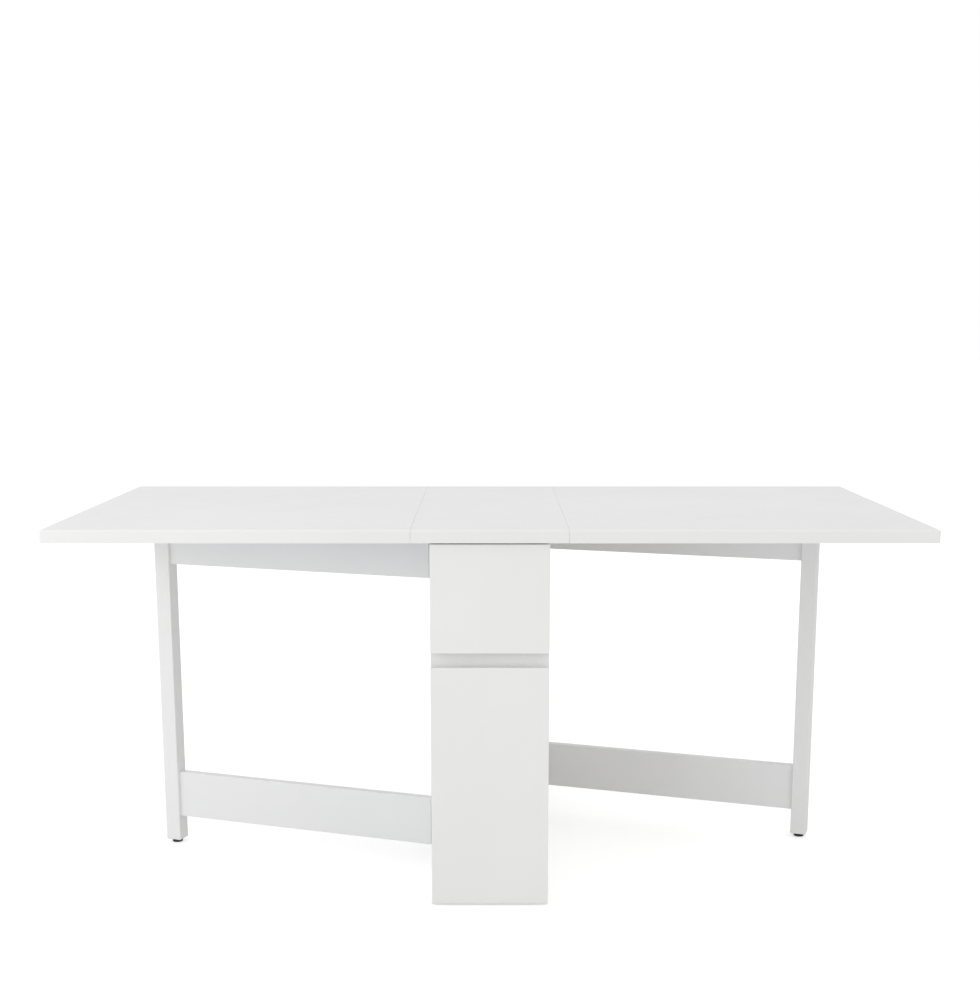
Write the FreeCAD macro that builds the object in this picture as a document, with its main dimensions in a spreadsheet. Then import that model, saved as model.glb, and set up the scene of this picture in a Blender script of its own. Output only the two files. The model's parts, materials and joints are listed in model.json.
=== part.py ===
"""Gateleg table: a drawer column with a fixed top, two drop leaves and two swinging gates.

Frame: origin on the floor under the middle of the table, +X along the open table's length,
+Y from the drawer fronts towards the back, +Z up. Sizes are in millimetres.
Every left-hand piece has a right-hand twin, turned half round about +Z.
"""
import FreeCAD, Part
import Sketcher

import os
import re

SIZES = {
    # table top
    "top_height": 740, "top_thick": 25, "table_depth": 834, "centre_width": 296,
    "seam_gap": 0.3, "leaf_length": 689.7, "top_soft": 3.5, "seam_soft": 0.3,
    # drawer column
    "column_width": 226, "column_setback": 7, "column_lift": 4, "board_thick": 18,
    "board_soft": 0.8, "front_gap": 2, "front_reveal": 3, "groove_low": 476, "groove_high": 504,
    "finger_bevel": 9, "finger_low": 450, "finger_high": 515, "shelf_low": 473, "stretcher": 70,
    # drawer boxes and their runners
    "box_width": 165, "box_wall": 12, "box_length": 600, "bottom_thick": 6, "bottom_lift": 8,
    "groove_deep": 5, "upper_box_low": 522, "upper_box_high": 690, "lower_box_low": 34,
    "lower_box_high": 440, "runner_length": 550, "runner_steel": 1.2, "channel_height": 36,
    "channel_depth": 9, "slide_height": 28, "slide_depth": 8, "runner_rise": 60,
    "drawer_screw_inset": 40, "drawer_screw_spread": 47,
    # gates
    "gate_angle": 19.2, "pivot_gap": 5, "pivot_back": 203, "gate_length": 617, "post_side": 34,
    "post_inset": 3.5, "post_low": 8, "post_high": 714, "post_soft": 2, "rail_thick": 18,
    "rail_back": 4, "lower_rail_low": 62, "lower_rail_high": 162, "upper_rail_low": 619,
    "upper_rail_high": 706, "rail_dowel_inset": 22,
    # gate hinges
    "barrel_radius": 3.5, "barrel_height": 62, "barrel_share": 18, "knuckle_gap": 0.3,
    "barrel_clear": 1, "pin_radius": 1.75, "pin_play": 0.05, "plate_thick": 2, "plate_width": 34,
    "flap_thick": 1.5, "flap_width": 19, "hinge_screw_inset": 12.4, "plate_screw_reach": 20.4,
    "flap_screw_reach": 12, "lower_hinge": 81, "upper_hinge": 631.5,
    # leaf hinges
    "leaf_axis_drop": 3.3, "leaf_barrel": 3, "leaf_barrel_clear": 0.5, "leaf_pin": 1.5,
    "leaf_hinge_width": 60, "leaf_flap_thick": 1.6, "leaf_flap_reach": 28, "leaf_share": 12,
    "leaf_hinge_front": -340, "leaf_hinge_middle": -20, "leaf_hinge_rear": 300,
    "leaf_screw_reach": 16.8, "leaf_screw_spread": 18,
    # feet, stops and fasteners
    "foot_radius": 11, "foot_edge": 1, "foot_stem": 4, "foot_stem_length": 15, "pad_radius": 8,
    "pad_edge": 40, "stop_length": 24, "stop_depth": 20, "stop_height": 15, "stop_inset": 24,
    "stop_clearance": 0.3, "dowel_radius": 4, "dowel_length": 32, "dowel_spread": 300,
    "screw_radius": 1.5, "screw_head": 3, "screw_length": 13, "screw_proud": 0.3,
    "top_screw_radius": 2.5, "top_screw_spread": 47.5,
}
SHEET = "Sizes"
SIDES = (("left", 1), ("right", -1))
UP = FreeCAD.Vector(0, 0, 1)
EXACT = 1e-6
TURNS = {
    "up": FreeCAD.Rotation(),
    "right": FreeCAD.Rotation(FreeCAD.Vector(0, 1, 0), 90),
    "left": FreeCAD.Rotation(FreeCAD.Vector(0, 1, 0), -90),
    "back": FreeCAD.Rotation(FreeCAD.Vector(1, 0, 0), -90),
    "front": FreeCAD.Rotation(FreeCAD.Vector(1, 0, 0), 90),
}

# places worked out from the driving sizes
UNDERSIDE = "(top_height - top_thick)"
HALF_DEPTH = "(table_depth / 2)"
FRONT_FACE = "(column_setback - table_depth / 2)"
CARCASS_FRONT = f"({FRONT_FACE} + board_thick + front_gap)"
CARCASS_BACK = f"(-{FRONT_FACE})"
SIDE_FACE = "(column_width / 2)"
INNER_FACE = f"({SIDE_FACE} - board_thick)"
INNER_WIDTH = "(column_width - 2 * board_thick)"
PIVOT_X = f"({SIDE_FACE} + pivot_gap)"
SEAM = "((centre_width + seam_gap) / 2)"
LEAF_AXIS = f"({UNDERSIDE} - leaf_axis_drop)"
RAIL_FACE = "((post_side - rail_thick) / 2 - post_inset)"
FLAP_FACE = f"({RAIL_FACE} - flap_thick)"
KNUCKLE = "(barrel_radius + barrel_clear)"
BOX_FRONT = f"({FRONT_FACE} + board_thick)"
LEVELS = ("lower", "upper")

doc = FreeCAD.newDocument("GatelegTable")
parts = []


def fill_sheet():
    """Puts every driving size in the spreadsheet as a plain number with an alias."""
    sheet = doc.addObject("Spreadsheet::Sheet", SHEET)
    for row, (word, value) in enumerate(SIZES.items(), start=1):
        sheet.set(f"A{row}", word)
        sheet.set(f"B{row}", str(value))
        sheet.setAlias(f"B{row}", word)
    doc.recompute()


def cells(text):
    """An expression written with the sheet's words, such as "top_height / 2", as FreeCAD reads it."""
    return re.sub(r"[a-z][a-z_]+", lambda m: f"{SHEET}.{m[0]}" if m[0] in SIZES else m[0], str(text))


def bind(thing, path, text):
    thing.setExpression(path, cells(text))


def bind_base(thing, path, low):
    for axis, text in zip("xyz", low):
        bind(thing, f"{path}.Base.{axis}", text)


def keep(thing, label):
    """Marks a finished sub-part, which is written under its label."""
    thing.Label = label
    parts.append(thing)
    return thing


def turn_side(thing, sign):
    """Leaves a left-hand piece where it is, or turns it half round to the right-hand side."""
    if sign < 0:
        thing.Placement = FreeCAD.Placement(FreeCAD.Vector(), FreeCAD.Rotation(UP, 180))
    return thing


def put_on_gate(thing, sign):
    """Places a piece drawn along +X from the pivot onto the open gate of one side."""
    thing.Placement = FreeCAD.Placement(FreeCAD.Vector(), FreeCAD.Rotation(UP, 90))
    bind(thing, "Placement.Base.x", f"-{sign} * {PIVOT_X}")
    bind(thing, "Placement.Base.y", f"-{sign} * pivot_back")
    bind(thing, "Placement.Rotation.Angle", f"{90 + 90 * sign} - gate_angle")
    return thing


# ---- solids -----------------------------------------------------------------------------


def attach(sketch, body, role):
    plane = next(f for f in body.Origin.OriginFeatures if f.Role == role)
    sketch.AttachmentSupport = [(plane, "")]
    sketch.MapMode = "FlatFace"


def rectangle(sketch, wide, deep):
    """A rectangle from the sketch's origin, with its two sides bound to the sheet."""
    corners = [FreeCAD.Vector(*c) for c in ((0, 0, 0), (10, 0, 0), (10, 10, 0), (0, 10, 0))]
    for i, corner in enumerate(corners):
        sketch.addGeometry(Part.LineSegment(corner, corners[(i + 1) % 4]), False)
    for i in range(4):
        sketch.addConstraint(Sketcher.Constraint("Coincident", i, 2, (i + 1) % 4, 1))
    for i, way in enumerate(("Horizontal", "Vertical", "Horizontal", "Vertical")):
        sketch.addConstraint(Sketcher.Constraint(way, i))
    sketch.addConstraint(Sketcher.Constraint("Coincident", 0, 1, -1, 1))
    width = sketch.addConstraint(Sketcher.Constraint("DistanceX", 0, 1, 0, 2, 10))
    depth = sketch.addConstraint(Sketcher.Constraint("DistanceY", 1, 1, 1, 2, 10))
    bind(sketch, f"Constraints[{width}]", wide)
    bind(sketch, f"Constraints[{depth}]", deep)


def outline(sketch, corners):
    """A closed outline of straight lines, with each corner's place bound to the sheet.

    A place of "0" puts the corner on the axis. The lines start from rough corners on an arc.
    """
    count = len(corners)
    rough = [FreeCAD.Rotation(UP, 90 * (i + 1) / (count + 1)).multVec(FreeCAD.Vector(10, 0, 0))
             for i in range(count)]
    for start, end in zip(rough, rough[1:] + rough[:1]):
        sketch.addGeometry(Part.LineSegment(start, end), False)
    for i in range(count):
        sketch.addConstraint(Sketcher.Constraint("Coincident", i, 2, (i + 1) % count, 1))
    for i, (across, up) in enumerate(corners):
        for way, axis, text, now in (("DistanceX", -2, across, rough[i].x),
                                     ("DistanceY", -1, up, rough[i].y)):
            if text == "0":
                sketch.addConstraint(Sketcher.Constraint("PointOnObject", i, 1, axis))
            else:
                place = sketch.addConstraint(Sketcher.Constraint(way, -1, 1, i, 1, now))
                bind(sketch, f"Constraints[{place}]", text)


def board(label, low, size):
    """A PartDesign body: a rectangle of size[0] by size[1] at the corner low, padded up by size[2]."""
    body = doc.addObject("PartDesign::Body", label)
    sketch = body.newObject("Sketcher::SketchObject", label + "_outline")
    attach(sketch, body, "XY_Plane")
    bind_base(sketch, "AttachmentOffset", low)
    rectangle(sketch, size[0], size[1])
    pad = body.newObject("PartDesign::Pad", label + "_board")
    pad.Profile = sketch
    bind(pad, "Length", size[2])
    doc.recompute()
    return body


def every_edge(edge):
    return True


def on_plane(edge, axis, place):
    """Whether the whole edge lies in the plane where that axis has that value."""
    return all(abs(getattr(v.Point, axis) - place) < EXACT for v in edge.Vertexes)


def upright(edge):
    return edge.BoundBox.ZLength > EXACT


def along_length(edge):
    """Whether an edge of a gate's rail runs the length of the rail."""
    return edge.BoundBox.XLength > SIZES["rail_thick"] and not upright(edge)


def dress_edges(body, kind, size_name, size, wanted):
    """Adds a fillet or a chamfer on the tip's edges that wanted picks.

    The body is first computed again, and then its edges keep their names when the sheet changes.
    """
    for feature in body.Group:
        feature.touch()
    doc.recompute()
    base = body.Tip
    names = [f"Edge{i}" for i, edge in enumerate(base.Shape.Edges, start=1) if wanted(edge)]
    dressed = body.newObject(f"PartDesign::{kind}", f"{body.Name}_{kind}_{len(body.Group)}")
    dressed.Base = (base, names)
    bind(dressed, size_name, size)
    body.Tip = dressed
    doc.recompute()
    return body


def soften(body, radius, wanted=every_edge):
    """Rounds edges of a board."""
    return dress_edges(body, "Fillet", "Radius", radius, wanted)


def bevel(body, size, wanted):
    """Cuts edges of a board off at 45 degrees."""
    return dress_edges(body, "Chamfer", "Size", size, wanted)


def block(name, low, size):
    solid = doc.addObject("Part::Box", name)
    for side, text in zip(("Length", "Width", "Height"), size):
        bind(solid, side, text)
    bind_base(solid, "Placement", low)
    return solid


def rod(name, foot, radius, length, way="up"):
    """A cylinder that starts at foot and runs along way."""
    solid = doc.addObject("Part::Cylinder", name)
    bind(solid, "Radius", radius)
    bind(solid, "Height", length)
    solid.Placement = FreeCAD.Placement(FreeCAD.Vector(), TURNS[way])
    bind_base(solid, "Placement", foot)
    return solid


def fuse(name, shapes):
    solid = doc.addObject("Part::MultiFuse", name)
    solid.Shapes = shapes
    return solid


def cut(name, base, tool):
    solid = doc.addObject("Part::Cut", name)
    solid.Base = base
    solid.Tool = tool
    return solid


def group(label, solids):
    """Several separate solids that are one sub-part, such as a set of screws."""
    compound = doc.addObject("Part::Compound", label)
    compound.Links = solids
    return compound


def screw(name, head, way):
    """A countersunk wood screw: its head's rim sits at head, and it points along way."""
    axis = TURNS[way].multVec(UP)
    cone = doc.addObject("Part::Cone", name + "_head")
    bind(cone, "Radius1", "screw_head")
    bind(cone, "Radius2", "screw_radius")
    bind(cone, "Height", "screw_head - screw_radius")
    shank = doc.addObject("Part::Cylinder", name + "_shank")
    bind(shank, "Radius", "screw_radius")
    bind(shank, "Height", "screw_length")
    for solid in (cone, shank):
        solid.Placement = FreeCAD.Placement(FreeCAD.Vector(), TURNS[way])
        back = [f"{text} - ({step} * screw_proud)" for text, step in zip(head, axis)]
        bind_base(solid, "Placement", back)
    return fuse(name, [cone, shank])


# ---- table top --------------------------------------------------------------------------


def make_centre_top():
    half = SIZES["centre_width"] / 2
    top = SIZES["top_height"]

    def seam(edge):
        return on_plane(edge, "x", half) or on_plane(edge, "x", -half)

    body = board("centre_top", ("-centre_width / 2", f"-{HALF_DEPTH}", UNDERSIDE),
                 ("centre_width", "table_depth", "top_thick"))
    soften(body, "top_soft", lambda edge: on_plane(edge, "z", top) and not seam(edge))
    soften(body, "seam_soft", seam)
    keep(body, "centre_top")


def make_leaf(side, sign):
    inner = -(SIZES["centre_width"] / 2 + SIZES["seam_gap"])
    outer = inner - SIZES["leaf_length"]
    top = SIZES["top_height"]
    bottom = top - SIZES["top_thick"]

    def seam(edge):
        return on_plane(edge, "x", inner)

    def outside(edge):
        """The upper edges and the two upright outer corners."""
        upper = on_plane(edge, "z", top) and not seam(edge)
        return upper or (on_plane(edge, "x", outer) and not on_plane(edge, "z", bottom))

    low = ("-(centre_width / 2 + seam_gap + leaf_length)", f"-{HALF_DEPTH}", UNDERSIDE)
    body = board(f"{side}_leaf", low, ("leaf_length", "table_depth", "top_thick"))
    soften(body, "top_soft", outside)
    soften(body, "seam_soft", seam)
    keep(turn_side(body, sign), f"{side}_leaf")


# ---- drawer column ----------------------------------------------------------------------


def make_side_panels():
    depth = f"({CARCASS_BACK} - {CARCASS_FRONT})"
    outer = SIZES["column_width"] / 2
    for side, sign in SIDES:
        edge = f"-{SIDE_FACE}" if sign > 0 else INNER_FACE
        body = board(f"{side}_side_panel", (edge, CARCASS_FRONT, "column_lift"),
                     ("board_thick", depth, f"{UNDERSIDE} - column_lift"))
        soften(body, "board_soft", lambda e: on_plane(e, "x", -sign * outer) and upright(e))
        keep(body, f"{side}_side_panel")


def make_column_boards():
    """The boards that stand or lie between the two side panels."""
    left = f"-{INNER_FACE}"
    back = f"({CARCASS_BACK} - board_thick)"
    inside = f"({back} - {CARCASS_FRONT})"
    shelf = f"({CARCASS_FRONT} + board_thick)"
    lie = f"({UNDERSIDE} - board_thick)"
    boards = {
        "back_panel": ((left, back, "column_lift"),
                       (INNER_WIDTH, "board_thick", f"{UNDERSIDE} - column_lift")),
        "base_panel": ((left, CARCASS_FRONT, "column_lift"), (INNER_WIDTH, inside, "board_thick")),
        "finger_rail": ((left, CARCASS_FRONT, "finger_low"),
                        (INNER_WIDTH, "board_thick", "finger_high - finger_low")),
        "divider_shelf": ((left, shelf, "shelf_low"), (INNER_WIDTH, f"{back} - {shelf}", "board_thick")),
        "front_stretcher": ((left, CARCASS_FRONT, lie), (INNER_WIDTH, "stretcher", "board_thick")),
        "rear_stretcher": ((left, f"{back} - stretcher", lie),
                           (INNER_WIDTH, "stretcher", "board_thick")),
    }
    for label, (low, size) in boards.items():
        keep(board(label, low, size), label)


def make_column_dowels():
    """Beech dowels that join the lying boards to the side panels, across each joint."""
    spread = ("-dowel_spread", "0", "dowel_spread")
    rows = {
        "base": ("column_lift + board_thick / 2", spread),
        "shelf": ("shelf_low + board_thick / 2", spread),
        "top": (f"{UNDERSIDE} - board_thick / 2",
                (f"{CARCASS_FRONT} + stretcher / 2",
                 f"{CARCASS_BACK} - board_thick - stretcher / 2")),
    }
    dowels = []
    for name, (height, places) in rows.items():
        for number, place in enumerate(places):
            for side, sign in SIDES:
                middle = f"-{sign} * {INNER_FACE} - dowel_length / 2"
                dowels.append(rod(f"dowel_{name}_{number}_{side}", (middle, place, height),
                                  "dowel_radius", "dowel_length", "right"))
    keep(group("column_dowels", dowels), "column_dowels")


def make_top_screws():
    """Screws through the stretchers that hold the fixed top panel."""
    screws = []
    for name, place in (("front", f"{CARCASS_FRONT} + stretcher / 2"),
                        ("rear", f"{CARCASS_BACK} - board_thick - stretcher / 2")):
        for side, sign in SIDES:
            foot = (f"-{sign} * top_screw_spread", place, f"{UNDERSIDE} - board_thick - screw_proud")
            screws.append(rod(f"top_screw_{name}_{side}", foot, "top_screw_radius",
                              "board_thick + screw_length"))
    keep(group("top_screws", screws), "top_screws")


def make_column_glides():
    """Low round pads under the side panels, which carry the column."""
    pads = []
    for side, sign in SIDES:
        for end, place in (("front", f"{CARCASS_FRONT} + pad_edge"),
                           ("rear", f"{CARCASS_BACK} - pad_edge")):
            foot = (f"-{sign} * ({SIDE_FACE} - board_thick / 2)", place, "0")
            pads.append(rod(f"pad_{side}_{end}", foot, "pad_radius", "column_lift"))
    keep(group("column_glides", pads), "column_glides")


# ---- drawers ----------------------------------------------------------------------------


def make_drawer(name, low, high, grip_edge, box_low, box_high):
    """A drawer: a show front over a box of five boards.

    The front's grip edge, which faces the groove, is bevelled behind so that fingers hook round it.
    """
    inner = "(box_width - 2 * box_wall)"
    tall = f"({box_high} - {box_low})"
    end = f"({BOX_FRONT} + box_length)"
    front = board(f"{name}_front", (f"-{SIDE_FACE}", FRONT_FACE, low),
                  ("column_width", "board_thick", f"{high} - {low}"))
    rear_face = front.Shape.BoundBox.YMax
    grip = SIZES[grip_edge]
    bevel(front, "finger_bevel", lambda e: on_plane(e, "y", rear_face) and on_plane(e, "z", grip))
    keep(soften(front, "board_soft"), f"{name}_front")
    ends = {f"{name}_inner_front": BOX_FRONT, f"{name}_back": f"({end} - box_wall)"}
    for label, place in ends.items():
        keep(board(label, (f"-{inner} / 2", place, f"{box_low} + bottom_lift + bottom_thick"),
                   (inner, "box_wall", f"{tall} - bottom_lift - bottom_thick")), label)
    keep(board(f"{name}_bottom", (f"-({inner} / 2 + groove_deep)", BOX_FRONT, f"{box_low} + bottom_lift"),
               (f"{inner} + 2 * groove_deep", "box_length", "bottom_thick")), f"{name}_bottom")
    for side, sign in SIDES:
        edge = "-box_width / 2" if sign > 0 else "(box_width / 2 - box_wall)"
        groove = f"-({inner} / 2 + groove_deep)" if sign > 0 else f"({inner} / 2)"
        plain = block(f"{name}_{side}_wall", (edge, BOX_FRONT, box_low), ("box_wall", "box_length", tall))
        slot = block(f"{name}_{side}_slot", (groove, BOX_FRONT, f"{box_low} + bottom_lift"),
                     ("groove_deep", "box_length", "bottom_thick"))
        keep(cut(f"{name}_{side}_side", plain, slot), f"{name}_{side}_side")
    screws = []
    for height in (f"{box_low} + drawer_screw_inset", f"{box_high} - drawer_screw_inset"):
        for _, sign in SIDES:
            head = (f"{sign} * drawer_screw_spread", f"{BOX_FRONT} + box_wall", height)
            screws.append(screw(f"{name}_screw_{len(screws)}", head, "front"))
    keep(group(f"{name}_screws", screws), f"{name}_screws")


def channel(name, sign, outer, low, depth, height, opens_inward):
    """A steel channel along Y: a web with two flanges. outer is the x of its column-side face."""
    start = f"({BOX_FRONT} + box_wall)"
    edge = f"-({outer})" if sign > 0 else f"({outer} - {depth})"
    solid = block(f"{name}_blank", (edge, start, low), (depth, "runner_length", height))
    web_left = (sign > 0) == opens_inward
    shift = "runner_steel" if web_left else "0"
    hollow = block(f"{name}_hollow", (f"{edge} + {shift}", start, f"{low} + runner_steel"),
                   (f"{depth} - runner_steel", "runner_length", f"{height} - 2 * runner_steel"))
    return cut(name, solid, hollow)


def make_runners(name, box_low):
    """The fixed channels on the side panels and the smaller moving channels on the drawer box."""
    fixed, moving = [], []
    for side, sign in SIDES:
        fixed.append(channel(f"{name}_{side}_fixed", sign, INNER_FACE, f"{box_low} + runner_rise",
                             "channel_depth", "channel_height", True))
        low = f"{box_low} + runner_rise + (channel_height - slide_height) / 2"
        moving.append(channel(f"{name}_{side}_moving", sign, "(box_width / 2 + slide_depth)", low,
                              "slide_depth", "slide_height", False))
    keep(group(f"{name}_runner_channels", fixed), f"{name}_runner_channels")
    keep(group(f"{name}_runner_slides", moving), f"{name}_runner_slides")


# ---- gates ------------------------------------------------------------------------------


def make_gate(side, sign):
    """The swinging frame of one side: an outer post with an upper and a lower rail."""
    post_start = "(gate_length - post_side)"
    post = board(f"{side}_gate_post", (post_start, "-post_inset", "post_low"),
                 ("post_side", "post_side", "post_high - post_low"))
    keep(put_on_gate(soften(post, "post_soft"), sign), f"{side}_gate_post")
    dowels = []
    for level in LEVELS:
        low, high = f"{level}_rail_low", f"{level}_rail_high"
        rail = board(f"{side}_gate_{level}_rail", ("-rail_back", RAIL_FACE, low),
                     (f"{post_start} + rail_back", "rail_thick", f"{high} - {low}"))
        keep(put_on_gate(soften(rail, "board_soft", along_length), sign), f"{side}_gate_{level}_rail")
        for height in (f"{low} + rail_dowel_inset", f"{high} - rail_dowel_inset"):
            foot = (f"{post_start} - dowel_length / 2", f"{RAIL_FACE} + rail_thick / 2", height)
            dowels.append(rod(f"{side}_gate_dowel_{len(dowels)}", foot, "dowel_radius",
                              "dowel_length", "right"))
    keep(put_on_gate(group(f"{side}_gate_dowels", dowels), sign), f"{side}_gate_dowels")


def make_gate_foot(side, sign):
    """The screw-in foot under a gate's post: a round pad on a stem, turned about its own axis."""
    body = doc.addObject("PartDesign::Body", f"{side}_gate_foot")
    sketch = body.newObject("Sketcher::SketchObject", f"{side}_foot_profile")
    attach(sketch, body, "XZ_Plane")
    stem_top = "post_low + foot_stem_length"
    outline(sketch, (("0", "0"), ("foot_radius - foot_edge", "0"), ("foot_radius", "foot_edge"),
                     ("foot_radius", "post_low"), ("foot_stem", "post_low"),
                     ("foot_stem", stem_top), ("0", stem_top)))
    turned = body.newObject("PartDesign::Revolution", f"{side}_foot_turned")
    turned.Profile = sketch
    turned.ReferenceAxis = (sketch, ["V_Axis"])
    turned.Angle = 360
    bind_base(sketch, "AttachmentOffset", ("gate_length - post_side / 2", "0",
                                           "post_inset - post_side / 2"))
    keep(put_on_gate(body, sign), f"{side}_gate_foot")


def hinge_plate(name, low):
    """The fixed half of a butt hinge on the column's side: a plate with an end knuckle each way."""
    face = f"-{SIDE_FACE} - plate_thick"
    body = block(f"{name}_middle", (face, f"-pivot_back + {KNUCKLE}", low),
                 ("plate_thick", f"plate_width - {KNUCKLE}", "barrel_height"))
    pieces = [body]
    for end, start in (("low", low), ("high", f"({low} + barrel_height - barrel_share)")):
        pieces.append(block(f"{name}_{end}_tongue", (face, "-pivot_back", start),
                            ("plate_thick", "plate_width", "barrel_share")))
        pieces.append(rod(f"{name}_{end}_knuckle", (f"-{PIVOT_X}", "-pivot_back", start),
                          "barrel_radius", "barrel_share"))
    bore = rod(f"{name}_bore", (f"-{PIVOT_X}", "-pivot_back", low), "pin_radius", "barrel_height")
    return cut(name, fuse(f"{name}_blank", pieces), bore)


def hinge_flap(name, low):
    """The moving half of a butt hinge, on the rail's face, with the middle knuckle round the pin."""
    start = f"({low} + barrel_share + knuckle_gap)"
    tall = "(barrel_height - 2 * barrel_share - 2 * knuckle_gap)"
    pieces = [
        rod(f"{name}_knuckle", ("0", "0", start), "barrel_radius", tall),
        block(f"{name}_tongue", ("0", FLAP_FACE, start), ("flap_width", "flap_thick", tall)),
        block(f"{name}_middle", (KNUCKLE, FLAP_FACE, low),
              (f"flap_width - {KNUCKLE}", "flap_thick", "barrel_height")),
    ]
    bore = rod(f"{name}_bore", ("0", "0", low), "pin_radius + pin_play", "barrel_height")
    return cut(name, fuse(f"{name}_blank", pieces), bore)


def make_gate_hinges(side, sign):
    """Two butt hinges per gate: plates and pins stay on the column, flaps go with the gate."""
    plates, pins, flaps, plate_screws, flap_screws = [], [], [], [], []
    for level in LEVELS:
        low = f"{level}_hinge"
        name = f"{side}_{level}_hinge"
        pin_foot = (f"-{PIVOT_X}", "-pivot_back", low)
        pins.append(rod(f"{name}_pin", pin_foot, "pin_radius", "barrel_height"))
        plates.append(hinge_plate(f"{name}_plate", low))
        flaps.append(hinge_flap(f"{name}_flap", low))
        for end, height in (("low", f"{low} + hinge_screw_inset"),
                            ("high", f"{low} + barrel_height - hinge_screw_inset")):
            plate_head = (f"-{SIDE_FACE} - plate_thick", "-pivot_back + plate_screw_reach", height)
            flap_head = ("flap_screw_reach", FLAP_FACE, height)
            plate_screws.append(screw(f"{name}_plate_screw_{end}", plate_head, "right"))
            flap_screws.append(screw(f"{name}_flap_screw_{end}", flap_head, "back"))
    keep(turn_side(group(f"{side}_gate_hinge_plates", plates), sign), f"{side}_gate_hinge_plates")
    keep(put_on_gate(group(f"{side}_gate_hinge_flaps", flaps), sign), f"{side}_gate_hinge_flaps")
    keep(put_on_gate(group(f"{side}_gate_flap_screws", flap_screws), sign), f"{side}_gate_flap_screws")
    return [turn_side(group(f"{side}_gate_pins", pins), sign),
            turn_side(group(f"{side}_plate_screws", plate_screws), sign)]


# ---- leaf hinges ------------------------------------------------------------------------


def leaf_half(name, place, fixed):
    """One half of a leaf hinge: a flat flap under the board, with its share of the knuckles."""
    reach = "leaf_flap_reach"
    clear = "(leaf_barrel + leaf_barrel_clear)"
    start = f"({place} - leaf_hinge_width / 2)"
    edge = f"-{SEAM} + {clear}" if fixed else f"-{SEAM} - {reach}"
    flat = f"({UNDERSIDE} - leaf_flap_thick)"
    pieces = [block(f"{name}_flat", (edge, start, flat), (f"{reach} - {clear}", "leaf_hinge_width",
                                                       "leaf_flap_thick"))]
    shares = (0, 2, 4) if fixed else (1, 3)
    for share in shares:
        low = f"{start} + {share} * leaf_share + knuckle_gap / 2"
        long = "(leaf_share - knuckle_gap)"
        tongue_edge = f"-{SEAM}" if fixed else f"-{SEAM} - {clear}"
        pieces.append(block(f"{name}_tongue_{share}", (tongue_edge, low, flat),
                            (clear, long, "leaf_flap_thick")))
        pieces.append(rod(f"{name}_knuckle_{share}", (f"-{SEAM}", low, LEAF_AXIS), "leaf_barrel",
                          long, "back"))
    bore = "leaf_pin" if fixed else "leaf_pin + pin_play"
    hole = rod(f"{name}_bore", (f"-{SEAM}", start, LEAF_AXIS), bore, "leaf_hinge_width", "back")
    return cut(name, fuse(f"{name}_blank", pieces), hole)


def make_leaf_hinges(side, sign):
    """Three hinges along one seam, under the boards."""
    plates, flaps, pins, plate_screws, flap_screws = [], [], [], [], []
    flap_face = f"{UNDERSIDE} - leaf_flap_thick"
    for name in ("front", "middle", "rear"):
        place = f"leaf_hinge_{name}"
        plates.append(leaf_half(f"{side}_{name}_leaf_plate", place, fixed=True))
        flaps.append(leaf_half(f"{side}_{name}_leaf_flap", place, fixed=False))
        start = (f"-{SEAM}", f"{place} - leaf_hinge_width / 2", LEAF_AXIS)
        pins.append(rod(f"{side}_{name}_leaf_pin", start, "leaf_pin", "leaf_hinge_width", "back"))
        for end, y in (("front", f"{place} - leaf_screw_spread"),
                       ("rear", f"{place} + leaf_screw_spread")):
            plate_head = (f"-{SEAM} + leaf_screw_reach", y, flap_face)
            flap_head = (f"-{SEAM} - leaf_screw_reach", y, flap_face)
            plate_screws.append(screw(f"{side}_{name}_plate_screw_{end}", plate_head, "up"))
            flap_screws.append(screw(f"{side}_{name}_flap_screw_{end}", flap_head, "up"))
    keep(turn_side(group(f"{side}_leaf_hinge_plates", plates), sign), f"{side}_leaf_hinge_plates")
    keep(turn_side(group(f"{side}_leaf_hinge_flaps", flaps), sign), f"{side}_leaf_hinge_flaps")
    keep(turn_side(group(f"{side}_leaf_flap_screws", flap_screws), sign), f"{side}_leaf_flap_screws")
    return [turn_side(group(f"{side}_leaf_pins", pins), sign),
            turn_side(group(f"{side}_leaf_plate_screws", plate_screws), sign)]


def make_gate_stop(side, sign):
    """The block under a leaf that the open gate's post comes to rest against.

    It stands in from the gate's end, so that the dropped leaf's block hangs over the lower rail.
    """
    start = "(gate_length - stop_inset - stop_length)"
    low = (start, "post_side - post_inset + stop_clearance", f"{UNDERSIDE} - stop_height")
    stop = board(f"{side}_gate_stop", low, ("stop_length", "stop_depth", "stop_height"))
    keep(put_on_gate(stop, sign), f"{side}_gate_stop")


# ---- the whole table --------------------------------------------------------------------


def make_table():
    fill_sheet()
    make_centre_top()
    make_side_panels()
    make_column_boards()
    make_column_dowels()
    make_top_screws()
    make_column_glides()
    make_drawer("upper_drawer", "groove_high", f"({UNDERSIDE} - front_reveal)", "groove_high",
                "upper_box_low", "upper_box_high")
    make_drawer("lower_drawer", "column_lift", "groove_low", "groove_low",
                "lower_box_low", "lower_box_high")
    make_runners("upper", "upper_box_low")
    make_runners("lower", "lower_box_low")
    pins, screws = [], []
    for side, sign in SIDES:
        make_leaf(side, sign)
        make_gate(side, sign)
        make_gate_foot(side, sign)
        make_gate_stop(side, sign)
        for made in (make_gate_hinges(side, sign), make_leaf_hinges(side, sign)):
            pins.append(made[0])
            screws.append(made[1])
    keep(group("hinge_pins", pins), "hinge_pins")
    keep(group("hinge_plate_screws", screws), "hinge_plate_screws")
    doc.recompute()


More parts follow.
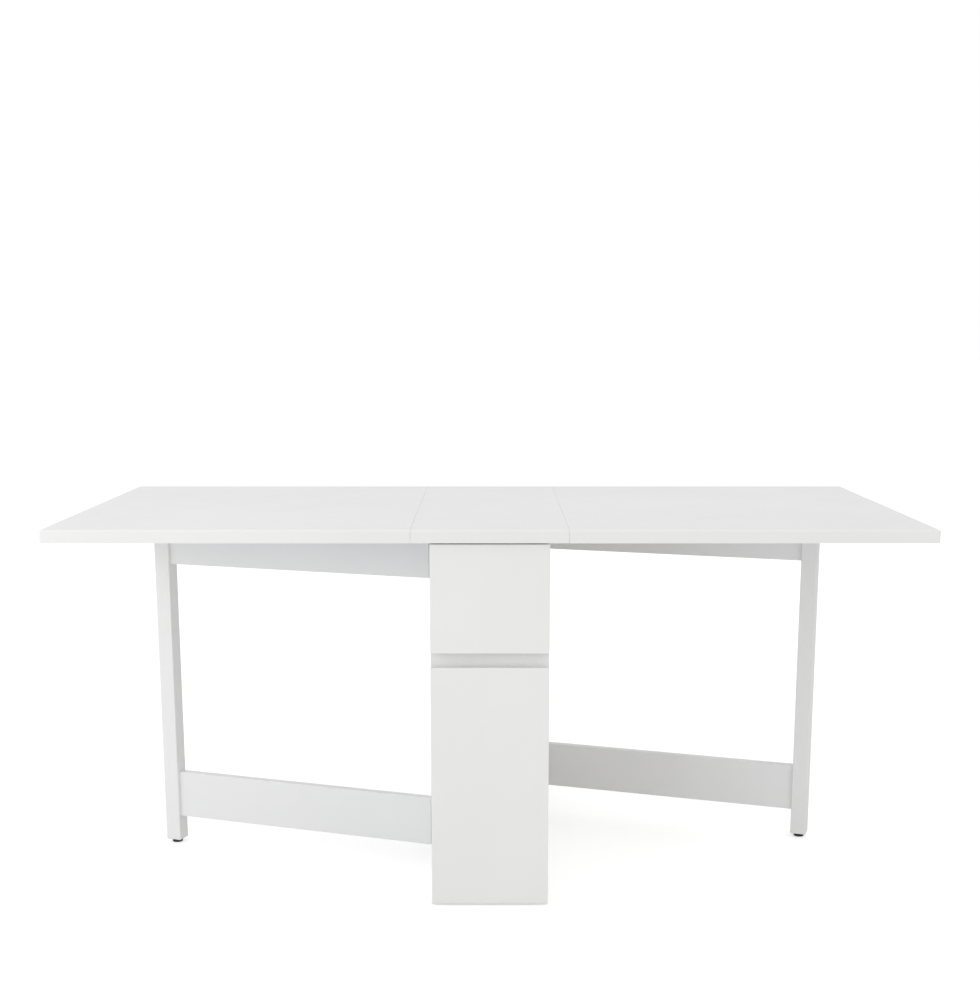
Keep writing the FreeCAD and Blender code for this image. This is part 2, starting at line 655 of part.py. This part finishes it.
def check():
    """Stops if any object failed, or a sub-part has no valid shape."""
    for thing in doc.Objects:
        if "Invalid" in thing.State or "Error" in thing.State:
            raise RuntimeError(f"{thing.Label} failed: {thing.State}")
    for part in parts:
        if part.Shape.isNull() or not part.Shape.isValid() or not part.Shape.Solids:
            raise RuntimeError(f"{part.Label} has no valid solid")


def write():
    os.makedirs("parts", exist_ok=True)
    for part in parts:
        part.Shape.exportStep(f"parts/{part.Label}.step")
        print(part.Label, len(part.Shape.Solids), round(part.Shape.Volume))


make_table()
check()
write()
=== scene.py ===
"""The gateleg table's looks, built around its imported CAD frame. Everything is in metres."""
import json
import math

import bmesh
import bpy
import numpy as np
from mathutils import Matrix, Vector


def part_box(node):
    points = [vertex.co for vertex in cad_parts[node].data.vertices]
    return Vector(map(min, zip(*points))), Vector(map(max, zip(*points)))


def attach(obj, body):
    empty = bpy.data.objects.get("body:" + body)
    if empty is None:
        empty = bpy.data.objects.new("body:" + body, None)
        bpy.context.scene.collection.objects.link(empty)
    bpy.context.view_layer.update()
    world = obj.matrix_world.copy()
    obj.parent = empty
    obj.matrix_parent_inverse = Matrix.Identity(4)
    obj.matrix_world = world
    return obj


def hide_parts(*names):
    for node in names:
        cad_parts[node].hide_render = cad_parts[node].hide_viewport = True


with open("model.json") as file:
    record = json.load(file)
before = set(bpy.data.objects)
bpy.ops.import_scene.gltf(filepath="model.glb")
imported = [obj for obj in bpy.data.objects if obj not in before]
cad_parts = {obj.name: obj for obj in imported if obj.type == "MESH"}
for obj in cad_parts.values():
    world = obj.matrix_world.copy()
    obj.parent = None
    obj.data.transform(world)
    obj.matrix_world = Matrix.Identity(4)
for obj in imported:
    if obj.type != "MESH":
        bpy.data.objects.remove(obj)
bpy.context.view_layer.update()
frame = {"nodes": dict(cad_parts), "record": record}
nodes = frame["nodes"]
slot_of = {part["node"]: part["material_slot"] for part in frame["record"]["subparts"]}
bodies = frame["record"]["behaviour"]["bodies"]
body_of = {node: body for body, held in bodies.items() for node in held}

MM = 0.001

WELD = 0.001 * MM           # corners closer than this are one corner
NEAR = 0.05 * MM            # a point this near an end plane lies in it
TINY = 1e-6                 # keeps a division from failing
SHARP = math.radians(35)    # edges sharper than this stay crisp
ARRIS = 0.4 * MM            # worn edge of boards and hinge plates
ARRIS_FROM = math.radians(40)   # edges sharper than this are worn

# The colour sockets of a Mix node, which share their names with its other sockets.
MIX_FIRST, MIX_SECOND, MIX_RESULT = 6, 7, 2

# Countersunk screws. The recess, the crown, the edge and the rim are shares of the head's radius,
# and the recess's floor is a share of its mouth. The core is a share of the shank's radius, and
# the point of the core's. The thread starts and ends at shares of the whole length.
HEAD_OVER_SHANK = 1.7
RECESS_REACH, RECESS_ARM, RECESS_DEPTH = 0.56, 0.13, 0.42
RECESS_FLOOR_REACH, RECESS_FLOOR_ARM = 0.6, 0.7
HEAD_CROWN, HEAD_EDGE, RIM_LOW, RIM_HIGH = 0.03, 0.86, 0.05, 0.12
CORE, POINT = 0.8, 0.15
THREAD_START, THREAD_END, THREAD_TURNS = 0.4, 0.86, 7

# Ends of pins and dowels: distance from the end and radius, as shares of the piece's radius.
PIN_END = ((0.0, 0.45), (0.09, 0.8), (0.35, 1.0))
PIN_SIDES = 24
DOWEL_END, DOWEL_CHAMFER = 0.75, 0.25
FLUTES, FLUTE_DEPTH = 16, 0.035     # grooves round a dowel, and half their depth

# Feet and glides. Their profiles are heights in millimetres, with radii as shares of the pad's.
FOOT_PAD = ((0.8, 0.5), (0.0, 0.62), (0.0, 0.86), (0.25, 0.94), (1.0, 1.0), (1.6, 1.0))
GRIP_LOW, GRIP_HIGH, GRIP_TOP = 2.0 * MM, 5.6 * MM, 6.0 * MM
GRIP_RIBS, RIB_DEPTH = 30, 0.025    # ribs round the grip, and half their depth
FOOT_NECK = ((-1.2, 1.0), (-0.3, 0.95), (0.0, 0.84))    # heights from the shoulder
STEM, STEM_CORE, STEM_END = 4 * MM, 0.86, 0.7
STEM_TURNS, STEM_GROOVE, STEM_CREST = 10, 0.3 * MM, 1.0 * MM
GLIDE_FACE = ((1.1, 0.30), (0.9, 0.33), (0.15, 0.38), (0.0, 0.45), (0.0, 0.78), (0.3, 0.93),
              (1.0, 1.0))
GLIDE_EDGE, GLIDE_TOP = 0.6 * MM, 0.94
GLIDE_SIDES = 40

# The rolled runners, and the domed screws in them, whose shares are of the dome's own size.
STEEL = 1.2 * MM            # thickness of the wall
LIP = 2.6 * MM              # depth of the turned-in lips
BEND, BEND_STEPS = 1.6 * MM, 3      # radius of the wall's bends
RUNNER_SCREWS = (0.12, 0.5, 0.88)   # places along a runner, as shares of its length
DOME_RADIUS, DOME_HEIGHT = 3.2 * MM, 1.6 * MM
DOME_REACH, DOME_ARM = 0.5, 0.14
DOME_FLOOR_REACH, DOME_FLOOR_ARM, DOME_FLOOR = 0.35, 0.1, 0.4
DOME_RIM = 0.97
DOME = ((1.0, 0.6), (0.85, 0.82), (0.4, 1.0), (0.0, 1.0))   # height and radius

# The stage. The surround and the floor are brighter to the camera than to the table.
FLOOR_RADIUS, FLOOR_SIDES = 60.0, 96
FLOOR_LIFT = 0.5
SURROUND = 0.878
LIGHTS = {
    "near_left": {"where": (-1.9, -1.6, 1.25), "target": (-0.5, -0.2, 0.74), "size": (0.8, 0.8),
                  "watts": 5.5, "color": (1.0, 0.98, 0.75)},
    "high_left": {"where": (-2.6, -1.0, 2.2), "target": (-0.2, 0.0, 0.7), "size": (1.6, 1.2),
                  "watts": 6.6, "color": (0.63, 0.57, 0.95)},
    "front_left": {"where": (-2.4, -3.4, 0.6), "target": (0.0, 0.0, 0.5), "size": (1.4, 1.0),
                   "watts": 9.8, "color": (0.76, 0.865, 1.0)},
    "front_right": {"where": (2.4, -3.2, 0.9), "target": (-0.3, 0.0, 0.4), "size": (1.2, 1.0),
                    "watts": 8.5, "color": (1.0, 0.93, 0.77)},
}

# The camera: a long lens from the front, a little above the table top.
CAMERA_PLACE = (0.0003, -3.2329, 1.0963)
CAMERA_PITCH = math.radians(11.572)
CAMERA_LENS = 55.98
CAMERA_SHIFT = 0.1588
CAMERA_REACH = 200.0


# ---- node tree helpers ------------------------------------------------------------------


def new_material(name):
    material = bpy.data.materials.new(name)
    material.use_nodes = True
    return material, material.node_tree, material.node_tree.nodes["Principled BSDF"]


def add(tree, kind, inputs=None, **settings):
    """A node of that kind, with its settings, and its inputs as numbers or as other sockets."""
    node = tree.nodes.new(kind)
    for key, value in settings.items():
        setattr(node, key, value)
    for key, value in (inputs or {}).items():
        socket = node.inputs[key]
        if isinstance(value, bpy.types.NodeSocket):
            tree.links.new(value, socket)
        else:
            socket.default_value = value
    return node


def place(tree):
    """The point in the row frame, in metres: a CAD node's object sits at the origin."""
    return add(tree, "ShaderNodeTexCoord").outputs["Object"]


def stretched(tree, scale):
    """The same point with a scale for each axis, for marks that run one way."""
    inputs = {"Vector": place(tree), "Scale": scale}
    return add(tree, "ShaderNodeMapping", inputs).outputs["Vector"]


def noise(tree, scale, detail=2.0, rough=0.5, vector=None):
    inputs = {"Vector": vector or place(tree), "Scale": scale, "Detail": detail,
              "Roughness": rough}
    return add(tree, "ShaderNodeTexNoise", inputs).outputs["Fac"]


def remap(tree, value, low, high, start=0.3, end=0.7):
    """Spreads a noise value between low and high."""
    return add(tree, "ShaderNodeMapRange", {"Value": value, "From Min": start, "From Max": end,
                                            "To Min": low, "To Max": high}).outputs["Result"]


def mix_color(tree, factor, first, second):
    node = add(tree, "ShaderNodeMix", data_type="RGBA")
    tree.links.new(factor, node.inputs["Factor"])
    for socket, value in ((node.inputs[MIX_FIRST], first), (node.inputs[MIX_SECOND], second)):
        if isinstance(value, bpy.types.NodeSocket):
            tree.links.new(value, socket)
        else:
            socket.default_value = (*value, 1)
    return node.outputs[MIX_RESULT]


def bump(tree, height, distance, strength=1.0, normal=None):
    inputs = {"Height": height, "Distance": distance, "Strength": strength}
    if normal is not None:
        inputs["Normal"] = normal
    return add(tree, "ShaderNodeBump", inputs).outputs["Normal"]


def edge_mask(tree, radius):
    """Near 1 on arrises and corners, 0 on flat faces."""
    bevel = add(tree, "ShaderNodeBevel", {"Radius": radius}, samples=4).outputs["Normal"]
    flat = add(tree, "ShaderNodeNewGeometry").outputs["Normal"]
    cosine = add(tree, "ShaderNodeVectorMath", {0: bevel, 1: flat}, operation="DOT_PRODUCT")
    return remap(tree, cosine.outputs["Value"], 1.0, 0.0, start=0.75, end=0.995)


# ---- materials --------------------------------------------------------------------------


def lacquer():
    """Sprayed satin white: faint orange peel, uneven gloss, and a painted highlight that makes the
    arrises paler.
    """
    material, tree, shader = new_material("white_lacquer")
    cloud = noise(tree, scale=3.5, detail=3.0, rough=0.55)
    base = mix_color(tree, remap(tree, cloud, 0.0, 1.0), (0.845, 0.846, 0.842),
                     (0.872, 0.873, 0.872))
    # Painted highlight: arrises and corners are mixed towards a paler white, as if they catch the
    # light.
    arris_highlight = mix_color(tree, edge_mask(tree, radius=2.0 * MM), base, (0.90, 0.90, 0.895))
    tree.links.new(arris_highlight, shader.inputs["Base Color"])
    sheen = remap(tree, noise(tree, scale=22.0, detail=4.0, rough=0.6), 0.34, 0.44)
    tree.links.new(sheen, shader.inputs["Roughness"])
    peel = bump(tree, noise(tree, scale=420.0, rough=0.45), distance=0.05 * MM, strength=0.5)
    swell = noise(tree, scale=55.0, detail=1.0, rough=0.4)
    relief = bump(tree, swell, distance=0.12 * MM, strength=0.35, normal=peel)
    tree.links.new(relief, shader.inputs["Normal"])
    shader.inputs["IOR"].default_value = 1.48
    return material


def foil():
    """White melamine foil on chipboard: a fine pebbled emboss and a duller face."""
    material, tree, shader = new_material("white_foil_board")
    cloud = noise(tree, scale=5.0, detail=3.0, rough=0.6)
    base = mix_color(tree, remap(tree, cloud, 0.0, 1.0), (0.828, 0.828, 0.828),
                     (0.856, 0.856, 0.857))
    tree.links.new(base, shader.inputs["Base Color"])
    dull = remap(tree, noise(tree, scale=60.0, detail=3.0), 0.42, 0.54)
    tree.links.new(dull, shader.inputs["Roughness"])
    cells = add(tree, "ShaderNodeTexVoronoi", {"Vector": place(tree), "Scale": 900.0},
                feature="SMOOTH_F1").outputs["Distance"]
    pebble = bump(tree, cells, distance=0.06 * MM, strength=0.5)
    fine = noise(tree, scale=260.0)
    relief = bump(tree, fine, distance=0.05 * MM, strength=0.4, normal=pebble)
    tree.links.new(relief, shader.inputs["Normal"])
    shader.inputs["IOR"].default_value = 1.5
    return material


def beech():
    """Turned beech dowel: pale brown with darker flecks along the peg."""
    material, tree, shader = new_material("beech_dowel")
    along = stretched(tree, (120.0, 900.0, 900.0))
    grain = noise(tree, scale=1.0, detail=5.0, rough=0.65, vector=along)
    tone = remap(tree, grain, 0.0, 1.0, start=0.35, end=0.65)
    base = mix_color(tree, tone, (0.47, 0.30, 0.17), (0.68, 0.48, 0.30))
    tree.links.new(base, shader.inputs["Base Color"])
    tree.links.new(remap(tree, grain, 0.55, 0.72), shader.inputs["Roughness"])
    tree.links.new(bump(tree, grain, distance=0.15 * MM, strength=0.6), shader.inputs["Normal"])
    return material


def powder_coat():
    """White powder-coated steel: a dense fine orange peel."""
    material, tree, shader = new_material("white_hinge_steel")
    cloud = noise(tree, scale=90.0, detail=3.0)
    base = mix_color(tree, remap(tree, cloud, 0.0, 1.0), (0.77, 0.77, 0.765), (0.81, 0.81, 0.81))
    tree.links.new(base, shader.inputs["Base Color"])
    fine = noise(tree, scale=1400.0, detail=3.0, rough=0.55)
    tree.links.new(remap(tree, fine, 0.3, 0.42), shader.inputs["Roughness"])
    tree.links.new(bump(tree, fine, distance=0.05 * MM, strength=0.7), shader.inputs["Normal"])
    return material


def zinc():
    """Bright zinc plate: long rolling marks and cloudy passivation."""
    material, tree, shader = new_material("zinc_steel")
    cloud = noise(tree, scale=70.0, detail=4.0, rough=0.6)
    base = mix_color(tree, remap(tree, cloud, 0.0, 1.0), (0.52, 0.53, 0.55), (0.70, 0.70, 0.69))
    tree.links.new(base, shader.inputs["Base Color"])
    along = stretched(tree, (2500.0, 60.0, 2500.0))
    marks = noise(tree, scale=1.0, detail=3.0, rough=0.6, vector=along)
    tree.links.new(remap(tree, marks, 0.24, 0.46), shader.inputs["Roughness"])
    tree.links.new(bump(tree, marks, distance=0.02 * MM, strength=0.6), shader.inputs["Normal"])
    shader.inputs["Metallic"].default_value = 1.0
    return material


def plastic(name, dark, light, smooth, rough):
    """Moulded plastic with a spark-eroded grain, between two tones and two roughnesses."""
    material, tree, shader = new_material(name)
    cloud = noise(tree, scale=150.0, detail=3.0)
    base = mix_color(tree, remap(tree, cloud, 0.0, 1.0), dark, light)
    tree.links.new(base, shader.inputs["Base Color"])
    grain = noise(tree, scale=1800.0, detail=3.0, rough=0.6)
    tree.links.new(remap(tree, grain, smooth, rough), shader.inputs["Roughness"])
    tree.links.new(bump(tree, grain, distance=0.08 * MM, strength=0.6), shader.inputs["Normal"])
    return material


MATERIALS = {
    "white_lacquer": lacquer(),
    "white_foil_board": foil(),
    "beech_dowel": beech(),
    "white_hinge_steel": powder_coat(),
    "zinc_steel": zinc(),
    "black_foot_plastic": plastic("black_foot_plastic", dark=(0.012, 0.012, 0.013),
                                  light=(0.03, 0.03, 0.031), smooth=0.42, rough=0.6),
    "glide_plastic": plastic("glide_plastic", dark=(0.66, 0.66, 0.64), light=(0.74, 0.74, 0.72),
                             smooth=0.4, rough=0.55),
}


def dress_nodes():
    """Gives each CAD node the material of its slot in the record."""
    for name, node in nodes.items():
        node.data.materials.clear()
        node.data.materials.append(MATERIALS[slot_of[name]])


# ---- mesh helpers -----------------------------------------------------------------------


def islands(name):
    """The separate solids of a CAD node, each as the list of its corner points."""
    mesh = bmesh.new()
    mesh.from_mesh(nodes[name].data)
    bmesh.ops.remove_doubles(mesh, verts=mesh.verts, dist=WELD)
    mesh.verts.index_update()
    seen, solids = set(), []
    for first in mesh.verts:
        if first.index in seen:
            continue
        seen.add(first.index)
        todo, solid = [first], []
        while todo:
            point = todo.pop()
            solid.append(point.co.copy())
            for edge in point.link_edges:
                other = edge.other_vert(point)
                if other.index not in seen:
                    seen.add(other.index)
                    todo.append(other)
        solids.append(solid)
    mesh.free()
    return solids


def box_of(points):
    """The lowest and highest corners of some points."""
    low = Vector(min(p[i] for p in points) for i in range(3))
    high = Vector(max(p[i] for p in points) for i in range(3))
    return low, high


def spindle(points):
    """A long turned solid's matrix, with Z from its wider end inwards, its length and its radii.

    Of two ends that are as wide, the one further along the axis counts as the wider.
    """
    middle = sum(points, Vector()) / len(points)
    offsets = np.array([point - middle for point in points])
    axis = Vector(np.linalg.eigh(offsets.T @ offsets)[1][:, 2])
    if max(axis, key=abs) < 0:
        axis.negate()
    along = [(point - middle).dot(axis) for point in points]
    ends = {}
    for end in (min(along), max(along)):
        rim = [p for p, a in zip(points, along) if abs(a - end) < NEAR]
        ends[end] = max((p - middle - axis * end).length for p in rim)
    tip, head = sorted(ends, key=lambda end: (round(ends[end] / NEAR), end))
    inward = axis if tip > head else -axis
    turn = inward.to_track_quat("Z", "Y").to_matrix().to_4x4()
    return Matrix.Translation(middle + axis * head) @ turn, abs(tip - head), ends[head], ends[tip]


def even_angles(count):
    return [2 * math.pi * i / count for i in range(count)]


def waved(radius, count, depth):
    """The rim of a ribbed or fluted piece: its radius for each direction."""
    def rim(angle):
        return radius * (1 - depth + depth * math.cos(count * angle))
    return rim


def in_millimetres(profile, radius, base=0.0):
    """Rings from heights in millimetres above base and from shares of a radius."""
    return [(base + height * MM, share * radius) for height, share in profile]


def turned(mesh, matrix, angles, rings):
    """Skins a stack of rings round the local Z axis, and closes the first and the last.

    A ring is a height, and a radius or a function of the angle that gives one.
    """
    loops = []
    for height, radius in rings:
        loop = []
        for angle in angles:
            reach = radius(angle) if callable(radius) else radius
            point = Vector((reach * math.cos(angle), reach * math.sin(angle), height))
            loop.append(mesh.verts.new(matrix @ point))
        loops.append(loop)
    for lower, upper in zip(loops, loops[1:]):
        for i in range(len(angles)):
            j = (i + 1) % len(angles)
            mesh.faces.new((lower[i], lower[j], upper[j], upper[i]))
    mesh.faces.new(loops[0])
    mesh.faces.new(loops[-1])


def piece(name, mesh, node):
    """A finished mesh that stands for a CAD node, on its body and with its material."""
    bmesh.ops.recalc_face_normals(mesh, faces=mesh.faces)
    data = bpy.data.meshes.new(name)
    mesh.to_mesh(data)
    mesh.free()
    data.shade_smooth()
    data.set_sharp_from_angle(angle=SHARP)
    data.materials.append(MATERIALS[slot_of[node]])
    solid = bpy.data.objects.new(name, data)
    bpy.context.scene.collection.objects.link(solid)
    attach(solid, body_of[node])
    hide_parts(node)


# ---- turned and threaded pieces ---------------------------------------------------------


def cross_rim(reach, width):
    """The rim of a cross recess: its distance from the middle for each direction."""
    quarter = math.pi / 2

    def distance(angle):
        turn = (angle + quarter / 2) % quarter - quarter / 2
        return min(reach / math.cos(turn), width / max(abs(math.sin(turn)), TINY))
    return distance


def cross_angles(reach, width):
    """Directions that meet every corner of a cross recess."""
    corner = math.atan2(width, reach)
    spread = (-math.pi / 4, -math.pi / 6, -corner, 0.0, corner, math.pi / 6)
    return [quarter * math.pi / 2 + turn for quarter in range(4) for turn in spread]


def screw(mesh, points):
    """A countersunk screw: a cross recess, a crowned head, a plain neck, a thread and a point."""
    matrix, length, head, shank = spindle(points)
    head = max(head, HEAD_OVER_SHANK * shank)
    reach, arm = head * RECESS_REACH, head * RECESS_ARM
    recess_floor = cross_rim(reach * RECESS_FLOOR_REACH, arm * RECESS_FLOOR_ARM)
    rings = [(head * RECESS_DEPTH, recess_floor), (head * HEAD_CROWN, cross_rim(reach, arm)),
             (0.0, head * HEAD_EDGE), (head * RIM_LOW, head), (head * RIM_HIGH, head),
             (head * RIM_HIGH + head - shank, shank)]
    start, end = length * THREAD_START, length * THREAD_END
    pitch = (end - start) / THREAD_TURNS
    for turn in range(THREAD_TURNS):
        rings += [(start + pitch * turn, shank * CORE), (start + pitch * (turn + 0.5), shank)]
    rings += [(end, shank * CORE), (length, shank * CORE * POINT)]
    turned(mesh, matrix, cross_angles(reach, arm), rings)


def make_screws():
    for name in nodes:
        if name.endswith("screws"):
            mesh = bmesh.new()
            for solid in islands(name):
                screw(mesh, solid)
            piece(f"{name}_threaded", mesh, name)


def make_pins():
    """Hinge pins with turned-over ends."""
    mesh = bmesh.new()
    for solid in islands("hinge_pins"):
        matrix, length, radius, _ = spindle(solid)
        near = [(height * radius, share * radius) for height, share in PIN_END]
        far = [(length - height, reach) for height, reach in reversed(near)]
        turned(mesh, matrix, even_angles(PIN_SIDES), near + far)
    piece("hinge_pins_turned", mesh, "hinge_pins")


def make_dowels():
    """Fluted dowels with chamfered ends."""
    for name in nodes:
        if name.endswith("dowels"):
            mesh = bmesh.new()
            for solid in islands(name):
                matrix, length, radius, _ = spindle(solid)
                flutes = waved(radius, FLUTES, FLUTE_DEPTH)
                chamfer = radius * DOWEL_CHAMFER
                turned(mesh, matrix, even_angles(2 * FLUTES),
                       [(0.0, radius * DOWEL_END), (chamfer, flutes), (length - chamfer, flutes),
                        (length, radius * DOWEL_END)])
            piece(f"{name}_fluted", mesh, name)


def make_feet():
    """The gates' screw-in feet: a dished pad with a ribbed grip and a threaded stem."""
    for side in ("left", "right"):
        name = f"{side}_gate_foot"
        low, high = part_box(name)
        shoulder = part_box(f"{side}_gate_post")[0][2]
        radius = (high[0] - low[0]) / 2
        ribs = waved(radius, GRIP_RIBS, RIB_DEPTH)
        rings = in_millimetres(FOOT_PAD, radius)
        rings += [(GRIP_LOW, ribs), (GRIP_HIGH, ribs), (GRIP_TOP, radius)]
        rings += in_millimetres(FOOT_NECK, radius, shoulder)
        rings.append((shoulder, STEM))
        for turn in range(STEM_TURNS):
            start = shoulder + (high[2] - shoulder) * turn / STEM_TURNS
            rings += [(start + STEM_GROOVE, STEM * STEM_CORE), (start + STEM_CREST, STEM)]
        rings.append((high[2], STEM * STEM_END))
        mesh = bmesh.new()
        middle = Vector(((low[0] + high[0]) / 2, (low[1] + high[1]) / 2, 0.0))
        turned(mesh, Matrix.Translation(middle), even_angles(4 * GRIP_RIBS), rings)
        piece(f"{name}_moulded", mesh, name)


def make_glides():
    """The column's nail-on glides: a soft-edged pad with its nail's head sunk in the middle."""
    mesh = bmesh.new()
    for solid in islands("column_glides"):
        low, high = box_of(solid)
        radius, tall = (high.x - low.x) / 2, high.z - low.z
        middle = Vector(((low.x + high.x) / 2, (low.y + high.y) / 2, low.z))
        rings = in_millimetres(GLIDE_FACE, radius)
        rings += [(tall - GLIDE_EDGE, radius), (tall, radius * GLIDE_TOP)]
        turned(mesh, Matrix.Translation(middle), even_angles(GLIDE_SIDES), rings)
    piece("column_glides_moulded", mesh, "column_glides")


# ---- runners ----------------------------------------------------------------------------


def channel_outline(depth, tall):
    """The middle line of a rolled channel's wall, in depth and height, from lip to lip."""
    half = STEEL / 2
    steps = [math.pi / 2 * step / BEND_STEPS for step in range(BEND_STEPS + 1)]
    upper = [(depth - half, tall / 2 - LIP)]
    upper += [(depth - half - BEND * (1 - math.cos(a)), tall / 2 - half - BEND * (1 - math.sin(a)))
              for a in steps]
    upper += [(half + BEND * (1 - math.sin(a)), tall / 2 - half - BEND * (1 - math.cos(a)))
              for a in steps]
    lower = [(u, -v) for u, v in upper]
    return lower + upper[::-1]


def thicken(line):
    """The closed outline of a wall of steel round its middle line."""
    points = [Vector(p) for p in line]
    normals = []
    for i in range(len(points)):
        before, after = points[max(i - 1, 0)], points[min(i + 1, len(points) - 1)]
        run = (after - before).normalized()
        normals.append(Vector((-run.y, run.x)))
    one = [p + n * STEEL / 2 for p, n in zip(points, normals)]
    other = [p - n * STEEL / 2 for p, n in zip(points, normals)]
    return one + other[::-1]


def pan_screw(mesh, where, way):
    """A domed screw head with a cross recess, standing on a runner's web."""
    matrix = Matrix.Translation(where) @ Vector(way).to_track_quat("Z", "Y").to_matrix().to_4x4()
    reach, arm = DOME_RADIUS * DOME_REACH, DOME_RADIUS * DOME_ARM
    recess_floor = cross_rim(DOME_RADIUS * DOME_FLOOR_REACH, DOME_RADIUS * DOME_FLOOR_ARM)
    rings = [(DOME_HEIGHT * DOME_FLOOR, recess_floor),
             (DOME_HEIGHT * DOME_RIM, cross_rim(reach, arm))]
    rings += [(DOME_HEIGHT * height, DOME_RADIUS * share) for height, share in DOME]
    turned(mesh, matrix, cross_angles(reach, arm), rings)


def make_runners():
    """Rolled steel runners with turned-in lips, screwed to the panels and to the drawers."""
    for name in nodes:
        if "runner" not in name:
            continue
        web_outside = name.endswith("channels")
        mesh = bmesh.new()
        for solid in islands(name):
            low, high = box_of(solid)
            side = 1 if low.x > 0 else -1
            outer, inner = max(abs(low.x), abs(high.x)), min(abs(low.x), abs(high.x))
            web, away = (outer, -side) if web_outside else (inner, side)
            outline = thicken(channel_outline(outer - inner, high.z - low.z))
            height = (low.z + high.z) / 2
            loops = [[mesh.verts.new((side * web + away * u, y, height + v)) for u, v in outline]
                     for y in (low.y, high.y)]
            for i in range(len(outline)):
                j = (i + 1) % len(outline)
                mesh.faces.new((loops[0][i], loops[0][j], loops[1][j], loops[1][i]))
            mesh.faces.new(loops[0])
            mesh.faces.new(loops[1])
            for share in RUNNER_SCREWS:
                y = low.y + (high.y - low.y) * share
                pan_screw(mesh, (side * web + away * STEEL, y, height), (away, 0, 0))
        piece(f"{name}_rolled", mesh, name)


def soften_cad():
    """Fine arrises on the foil boards, hinge plates and gate stops, which catch the light."""
    for name, node in nodes.items():
        if slot_of[name] in ("white_foil_board", "white_hinge_steel") or name.endswith("stop"):
            weld = node.modifiers.new("weld", "WELD")
            weld.merge_threshold = WELD
            arris = node.modifiers.new("arris", "BEVEL")
            arris.width = ARRIS
            arris.segments = 2
            arris.limit_method = "ANGLE"
            arris.angle_limit = ARRIS_FROM


# ---- stage, lights and camera -----------------------------------------------------------


def make_floor():
    """A pale round floor, lifted to plain white where the camera sees it."""
    bpy.ops.mesh.primitive_circle_add(vertices=FLOOR_SIDES, radius=FLOOR_RADIUS, fill_type="NGON")
    floor = bpy.context.object
    floor.name = "floor"
    material, tree, shader = new_material("pale_floor")
    tone = remap(tree, noise(tree, scale=1.5, detail=3.0), 0.0, 1.0)
    base = mix_color(tree, tone, (0.74, 0.74, 0.74), (0.76, 0.76, 0.76))
    tree.links.new(base, shader.inputs["Base Color"])
    shader.inputs["Roughness"].default_value = 0.9
    shader.inputs["Specular IOR Level"].default_value = 0.1
    shader.inputs["Emission Color"].default_value = (1, 1, 1, 1)
    seen = add(tree, "ShaderNodeLightPath").outputs["Is Camera Ray"]
    lift = add(tree, "ShaderNodeMath", {0: seen, 1: FLOOR_LIFT}, operation="MULTIPLY")
    tree.links.new(lift.outputs["Value"], shader.inputs["Emission Strength"])
    floor.data.materials.append(material)


def area_light(name, where, target, size, watts, color):
    data = bpy.data.lights.new(name, "AREA")
    data.shape = "RECTANGLE"
    data.size, data.size_y = size
    data.energy = watts
    data.color = color
    light = bpy.data.objects.new(name, data)
    light.location = where
    light.rotation_euler = (Vector(target) - Vector(where)).to_track_quat("-Z", "Y").to_euler()
    bpy.context.scene.collection.objects.link(light)


def make_lights():
    """Soft lights at the left and the right, in a pale surround that gives most of the light."""
    for name, settings in LIGHTS.items():
        area_light(name, **settings)
    world = bpy.data.worlds.new("surround")
    bpy.context.scene.world = world
    world.use_nodes = True
    tree = world.node_tree
    background = tree.nodes["Background"]
    background.inputs["Color"].default_value = (1, 1, 1, 1)
    seen = add(tree, "ShaderNodeLightPath").outputs["Is Camera Ray"]
    strength = add(tree, "ShaderNodeMapRange", {"Value": seen, "To Min": SURROUND, "To Max": 1.0})
    tree.links.new(strength.outputs["Result"], background.inputs["Strength"])


def make_camera():
    data = bpy.data.cameras.new("camera")
    data.lens = CAMERA_LENS
    data.shift_y = CAMERA_SHIFT
    data.clip_end = CAMERA_REACH
    camera = bpy.data.objects.new("camera", data)
    camera.location = CAMERA_PLACE
    camera.rotation_euler = (math.pi / 2 - CAMERA_PITCH, 0, 0)
    bpy.context.scene.collection.objects.link(camera)
    bpy.context.scene.camera = camera


dress_nodes()
soften_cad()
make_screws()
make_pins()
make_dowels()
make_feet()
make_glides()
make_runners()
make_floor()
make_lights()
make_camera()
bpy.context.scene.view_settings.view_transform = "Standard"
